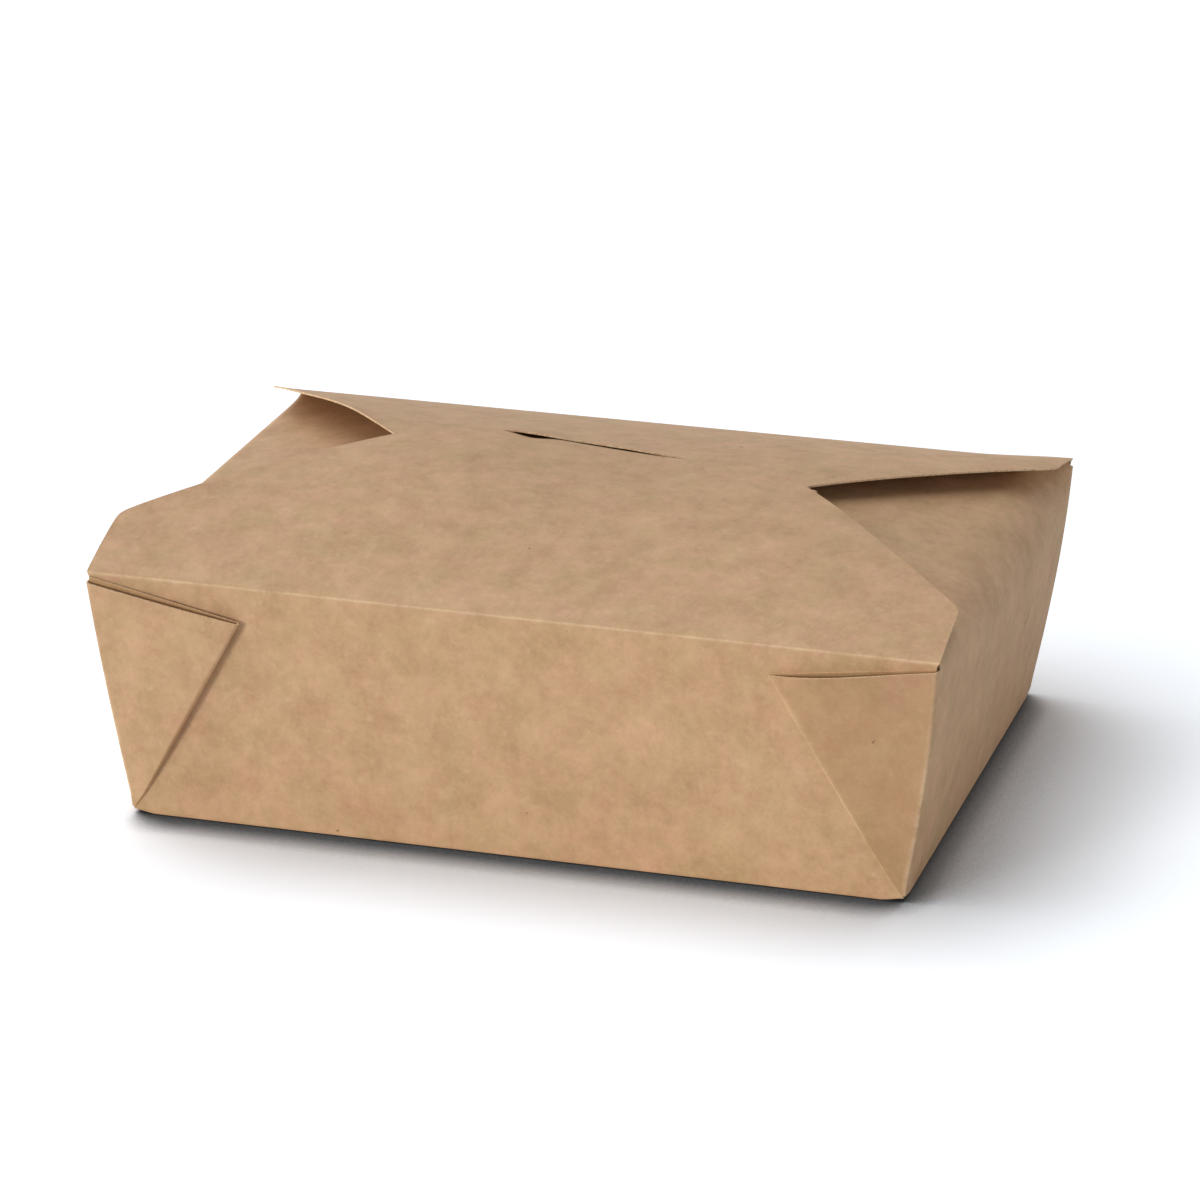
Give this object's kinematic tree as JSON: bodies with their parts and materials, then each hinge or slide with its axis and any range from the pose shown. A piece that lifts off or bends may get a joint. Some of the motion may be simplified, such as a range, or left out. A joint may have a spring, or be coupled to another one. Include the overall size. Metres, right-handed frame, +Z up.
{
  "type": "paper takeout box",
  "caption": "Closed fold-top takeout box of brown kraft board, with tapered walls, webbed corners and a hinged front flap that tucks into a slit in the back flap.",
  "frame": {"origin": "middle of the base, on the surface that the box stands on", "axes": "+X along the box's length, -Y towards the front flap's crease, +Z up"},
  "size_m": [0.2134, 0.1556, 0.0783],
  "materials": {
    "kraft_board": "matte unbleached kraft board with light fibre blotches and brown flecks"
  },
  "bodies": {
    "carton": {"carton": "kraft_board"},
    "front_flap": {"front_flap": "kraft_board"}
  },
  "joints": [
    {"name": "front_flap_hinge", "type": "hinge", "parent": "carton", "child": "front_flap", "pos_m": [0, -0.07602, 0.06327], "axis": [1, 0, 0], "range_deg": [0, 180]}
  ]
}
